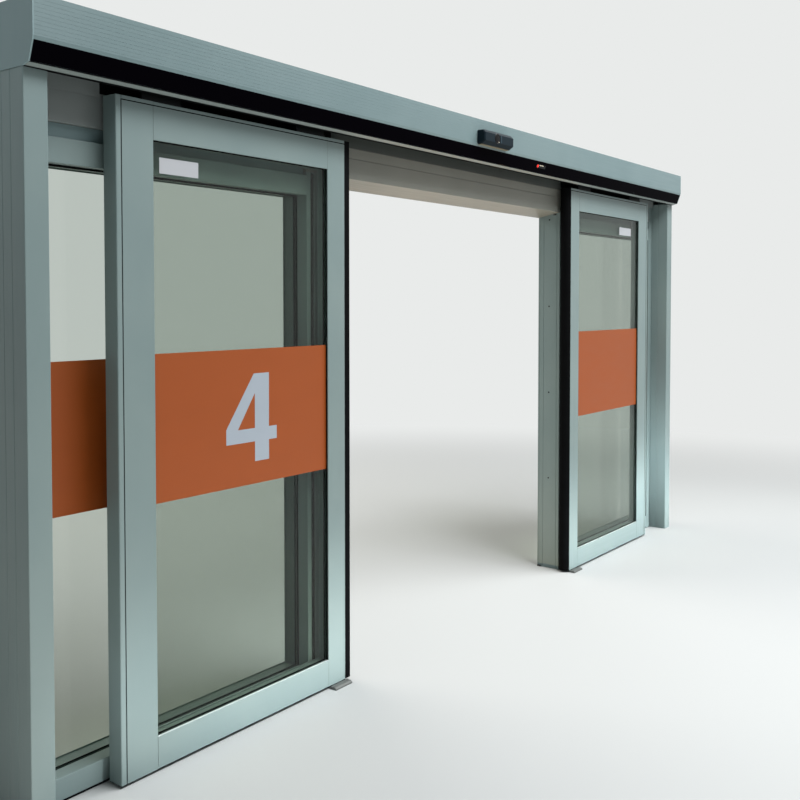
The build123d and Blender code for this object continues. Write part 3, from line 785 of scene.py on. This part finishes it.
def placeOnStrip():
    # X along the header, Y up the slope, Z outwards
    s = lightSettings
    run, rise = s["slope"]
    upSlope = Vector((0, run, rise)).normalized()
    outward = Vector((0, -rise, run)).normalized()
    back, z = s["slopeFoot"]
    foot = Vector((0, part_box("header_cover")[0].y + back, z))
    middle = foot + upSlope * ((s["middleZ"] - foot.z) / upSlope.z)
    turn = Matrix((Vector((1, 0, 0)), upSlope, outward)).transposed().to_4x4()
    return Matrix.Translation(middle) @ turn


def makeStatusLight():
    s = lightSettings
    (lensX0, lensX1), (markX0, markX1), (markY0, markY1) = s["x"], s["markX"], s["markHeight"]
    lens = bmesh.new()
    addBox(lens, (lensX0, -s["height"] / 2, 0), (lensX1, s["height"] / 2, s["rise"]))
    bevelEdges(lens, lens.edges[:], s["round"])
    dot = bmesh.new()
    centre = Matrix.Translation((s["dotX"], 0, s["rise"]))
    around, up = s["dotFacets"]
    bmesh.ops.create_uvsphere(dot, u_segments=around, v_segments=up, radius=s["dotRadius"],
                              matrix=centre @ Matrix.Diagonal((1, 1, s["dotFlat"], 1)))
    window = bmesh.new()
    z0, z1 = [s["rise"] + d for d in s["markRise"]]
    addBox(window, (markX0, markY0, z0), (markX1, markY1, z1))
    parts = {"lens": (lens, lensAbs), "diode": (dot, redDiode), "window": (window, paleAbs)}
    for name, (bm, material) in parts.items():
        bmesh.ops.transform(bm, matrix=placeOnStrip(), verts=bm.verts)
        finishPiece(bm, f"status_light_{name}", material, "frame")


makeStatusLight()

# motion sensor: a slim housing with cut corners, a round lens, a bright joint line and a small window
sensorSettings = {
    "length": 263 * mm, "height": 66 * mm, "lift": 4 * mm, "setback": 1.3 * mm,
    "topSlope": 13 * mm, "foot": 15 * mm, "underSlope": 22 * mm, "corner": 8 * mm,
    "lensFromLeft": 110 * mm, "lensRadius": 20 * mm, "ringWidth": 5 * mm, "rise": 1.3 * mm,
    "dish": ((1.0, 0.3), (0.6, 0.8), (0.0, 1.0)),       # the lens inside its ring: shares of radius and rise
    "facets": 32, "sink": 1 * mm,
    "lineX": (142 * mm, 145 * mm), "lineEnds": (17 * mm, 15 * mm),      # from the bottom and from the top
    "windowX": (117 * mm, 126 * mm), "windowZ": (16 * mm, 20 * mm),
    "plateX": 8 * mm, "plateZ": (-2 * mm, -0.1 * mm), "plateFront": 1 * mm, "plateBack": 0.5 * mm,
    "plateRound": 0.6 * mm,
}


def makeSensor():
    s = sensorSettings
    low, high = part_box("motion_sensor")
    left, right = low.x, low.x + s["length"]
    front, back = low.y + s["setback"], high.y
    bottom = low.z + s["lift"]
    top = bottom + s["height"]
    section = [
        (back, bottom), (back, top), (front + s["topSlope"], top), (front, top - s["topSlope"]),
        (front, bottom + s["foot"]), (front + s["underSlope"], bottom),
    ]
    bm = bmesh.new()
    face = bm.faces.new([bm.verts.new((left, y, z)) for y, z in section])
    raiseFaces(bm, [face], (s["length"], 0, 0))
    ends = [e for e in bm.edges if abs(e.verts[0].co.x - e.verts[1].co.x) < hair
            and min(v.co.y for v in e.verts) < back - hair]
    bevelEdges(bm, ends, s["corner"], 3)
    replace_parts(finishPiece(bm, "sensor_housing", sensorAbs, "frame"), "motion_sensor")
    makeSensorLens(Vector((left + s["lensFromLeft"], front, (bottom + top) / 2)))

    (lineX0, lineX1), (windowX0, windowX1) = s["lineX"], s["windowX"]
    (fromBottom, fromTop), (windowZ0, windowZ1) = s["lineEnds"], s["windowZ"]
    y0, y1 = front - s["rise"], front + s["sink"]
    makeBlock("sensor_line", (left + lineX0, y0, bottom + fromBottom), (left + lineX1, y1, top - fromTop),
              lineAbs, "frame")
    makeBlock("sensor_window",
              (left + windowX0, y0, bottom + windowZ0), (left + windowX1, y1, bottom + windowZ1),
              paleAbs, "frame")
    z0, z1 = [bottom + d for d in s["plateZ"]]
    makeBlock("sensor_underside_plate",
              (left + s["plateX"], front + s["underSlope"] + s["plateFront"], z0),
              (right - s["plateX"], back - s["plateBack"], z1),
              dullAbs, "frame", s["plateRound"])


def makeSensorLens(middle):
    # a ring with the dished lens inside it, spun round Z and turned to the front
    s = sensorSettings
    r, rise = s["lensRadius"], s["rise"]
    section = [(r + s["ringWidth"], 0), (r + s["ringWidth"] / 2, rise)]
    section += [(r * across, rise * height) for across, height in s["dish"]]
    bm = bmesh.new()
    points = [bm.verts.new((across, 0, height)) for across, height in section]
    line = [bm.edges.new(pair) for pair in zip(points, points[1:])]
    bmesh.ops.spin(bm, geom=points + line, cent=(0, 0, 0), axis=(0, 0, 1), angle=2 * math.pi,
                   steps=s["facets"], use_merge=True)
    bmesh.ops.remove_doubles(bm, verts=bm.verts, dist=0.05 * mm)
    bmesh.ops.holes_fill(bm, edges=[e for e in bm.edges if e.is_boundary], sides=0)
    turn = Matrix.Translation(middle) @ Matrix.Rotation(math.pi / 2, 4, "X")
    bmesh.ops.transform(bm, matrix=turn, verts=bm.verts)
    finishPiece(bm, "sensor_lens", lensAbs, "frame")


makeSensor()

# painted shade: a thin black sheet under the header's lip, for the shadow line below it
lipSettings = {"back": 48.5 * mm, "width": 17.5 * mm, "drop": (0.8 * mm, 0.05 * mm), "endGap": 1 * mm}


def makeLipShadeSheet():
    s = lipSettings
    low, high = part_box("header_cover")
    y = low.y + s["back"]
    z0, z1 = [low.z - d for d in s["drop"]]
    makeBlock("header_lip_shade_sheet", (low.x + s["endGap"], y, z0), (high.x - s["endGap"], y + s["width"], z1),
              rubber, "frame")


makeLipShadeSheet()

# pale strip on the sloping face in front of the lip, painted light: it stands for the lit front of the lip;
# with a black foot. Each end's place is back from the cover's front and up from its underside, and the
# shares run along the slope
lipStripSettings = {
    "start": (23.6 * mm, 7.8 * mm), "end": (51 * mm, 0.0), "thickness": 0.35 * mm, "sink": 0.1 * mm,
    "endGap": 0.2 * mm, "black": (-0.08, 0.14), "pale": (0.14, 0.91),
}


def makeLipStrip(name, material, shares):
    s = lipStripSettings
    low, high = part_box("header_cover")
    ends = [Vector((0, low.y + back, low.z + up)) for back, up in (s["start"], s["end"])]
    start, end = [ends[0].lerp(ends[1], share) for share in shares]
    outward = Vector((0, end.z - start.z, start.y - end.y)).normalized()
    under, over = -outward * s["sink"], outward * s["thickness"]
    corners = [start + under, end + under, end + over, start + over]
    bm = bmesh.new()
    face = bm.faces.new([bm.verts.new((low.x + s["endGap"], point.y, point.z)) for point in corners])
    raiseFaces(bm, [face], (high.x - low.x - 2 * s["endGap"], 0, 0))
    finishPiece(bm, name, material, "frame")


# painted light: the pale strip stands for the lit front of the lip
makeLipStrip("header_lip_painted_light_strip", paintedLightLipCoat, lipStripSettings["pale"])
makeLipStrip("header_strip_foot", rubber, lipStripSettings["black"])
print("header fittings")

# plain pale floor that fades into the backdrop, soft lamps and an even world
stageSettings = {
    "floorHex": "#BFC1C1", "backHex": "#E9EBEA", "fade": (3.2, 7.5), "floorSize": 40.0, "drop": 0.2 * mm,
    "worldHex": "#EAF3F5", "worldStrength": 0.17,
}


def seenDirectly(tree):
    # one for the camera's rays, also in glass and reflections, and nought for the light on the door
    path = addNode(tree, "ShaderNodeLightPath").outputs
    seen = addNode(tree, "ShaderNodeMath", {"operation": "MAXIMUM"},
                   {0: path["Is Camera Ray"], 1: path["Is Glossy Ray"]})
    clear = addNode(tree, "ShaderNodeMath", {"operation": "MAXIMUM"},
                    {0: seen.outputs["Value"], 1: path["Is Transmission Ray"]})
    return clear.outputs["Value"]


def makeStage():
    s = stageSettings
    bm = bmesh.new()
    bmesh.ops.create_grid(bm, x_segments=1, y_segments=1, size=s["floorSize"],
                          matrix=Matrix.Translation((0, 0, -s["drop"])))
    mesh = bpy.data.meshes.new("floor")
    bm.to_mesh(mesh)
    bm.free()
    floor = bpy.data.objects.new("floor", mesh)
    bpy.context.scene.collection.objects.link(floor)
    material, tree, shader, place = startMaterial(
        "paleFloor", {"Base Color": colour(s["floorHex"]), "Roughness": 0.6, "Specular IOR Level": 0.2})
    reach = addNode(tree, "ShaderNodeVectorMath", {"operation": "LENGTH"}, {0: place})
    near, gone = s["fade"]
    fade = addNode(tree, "ShaderNodeMapRange", {"interpolation_type": "SMOOTHSTEP"},
                   {"Value": reach.outputs["Value"], "From Min": near, "From Max": gone})
    share = addNode(tree, "ShaderNodeMath", {"operation": "MULTIPLY"},
                    {0: fade.outputs["Result"], 1: seenDirectly(tree)})
    far = addNode(tree, "ShaderNodeEmission", {}, {"Color": colour(s["backHex"]), "Strength": 1.0})
    addNode(tree, "ShaderNodeMixShader", {},
            {"Fac": share.outputs["Value"], 1: shader.outputs["BSDF"], 2: far.outputs["Emission"]},
            {"Shader": tree.nodes["Material Output"].inputs["Surface"]})
    mesh.materials.append(material)


def makeWorld():
    s = stageSettings
    world = bpy.data.worlds.new("backdrop")
    bpy.context.scene.world = world
    world.use_nodes = True
    tree = world.node_tree
    tree.nodes.clear()
    light = addNode(tree, "ShaderNodeBackground", {},
                    {"Color": colour(s["worldHex"]), "Strength": s["worldStrength"]})
    back = addNode(tree, "ShaderNodeBackground", {}, {"Color": colour(s["backHex"]), "Strength": 1.0})
    output = addNode(tree, "ShaderNodeOutputWorld")
    addNode(tree, "ShaderNodeMixShader", {},
            {"Fac": seenDirectly(tree), 1: light.outputs["Background"], 2: back.outputs["Background"]},
            {"Shader": output.inputs["Surface"]})


# each lamp: its middle, what it faces, its two sides in metres, watts, colour, spread in degrees,
# and whether it shows in the glossy faces
lampSettings = {
    # soft light from above and in front
    "key": {"place": (1.5, -3.1, 6.3), "aim": (0.5, 0.0, 1.0), "size": (7.0, 2.6), "power": 738.0,
            "hex": "#FCFEFF", "spread": 180, "shine": True},
    # light thrown back by the pale floor, in front of the door and in the passage
    "bounce": {"place": (0.0, -0.72, 0.02), "aim": (0.0, -0.72, 1.0), "size": (7.6, 1.1), "power": 50.0,
               "hex": "#FFFBF4", "spread": 180, "shine": False},
    "inner": {"place": (0.1, 0.9, 0.02), "aim": (0.1, 0.9, 1.0), "size": (1.9, 1.9), "power": 11.0,
              "hex": "#FFDDB4", "spread": 180, "shine": False},
    # warm light on the transom's underside
    "soffit": {"place": (0.0, -0.4, 0.03), "aim": (0.0, 0.1, 2.04), "size": (1.9, 0.3), "power": 1.5,
               "hex": "#FFA850", "spread": 30, "shine": False},
    # low cool light on the foot of the door
    "rightFoot": {"place": (1.5, -0.62, 0.03), "aim": (2.36, -0.02, 0.45), "size": (0.3, 0.3),
                  "power": 2.2, "hex": "#F2FAFF", "spread": 50, "shine": False},
    "skirt": {"place": (1.7, -4.5, 0.14), "aim": (1.1, 0.0, 0.06), "size": (6.0, 0.2), "power": 21.0,
              "hex": "#FBFEFF", "spread": 16, "shine": False},
    "leftFoot": {"place": (-2.34, -0.45, 0.03), "aim": (-2.1, -0.01, 0.3), "size": (0.12, 0.3),
                 "power": 0.28, "hex": "#F8FCFF", "spread": 60, "shine": False},
    # the header's near end, and the back
    "left": {"place": (-5.4, -0.5, 3.4), "aim": (-2.4, 0.0, 2.35), "size": (1.0, 1.0), "power": 0.8,
             "hex": "#F0FAFF", "spread": 24, "shine": False},
    "back": {"place": (0.0, 5.0, 5.0), "aim": (0.0, 0.0, 0.6), "size": (6.0, 3.0), "power": 280.0,
             "hex": "#FFF8EC", "spread": 180, "shine": False},
}


def makeLamp(name):
    s = lampSettings[name]
    lamp = bpy.data.lights.new(name, "AREA")
    lamp.shape = "RECTANGLE"
    lamp.size, lamp.size_y = s["size"]
    lamp.energy = s["power"]
    lamp.spread = math.radians(s["spread"])
    lamp.color = colour(s["hex"])[:3]
    holder = bpy.data.objects.new(name, lamp)
    holder.location = s["place"]
    aim = Vector(s["aim"]) - Vector(s["place"])
    holder.rotation_euler = aim.to_track_quat("-Z", "Y").to_euler()
    # the lamps light the door but are not seen through its glass
    holder.visible_camera = False
    holder.visible_glossy = s["shine"]
    holder.visible_transmission = False
    bpy.context.scene.collection.objects.link(holder)


makeStage()
makeWorld()
for name in lampSettings:
    makeLamp(name)
bpy.context.scene.view_settings.view_transform = "Standard"
print("stage and lamps")
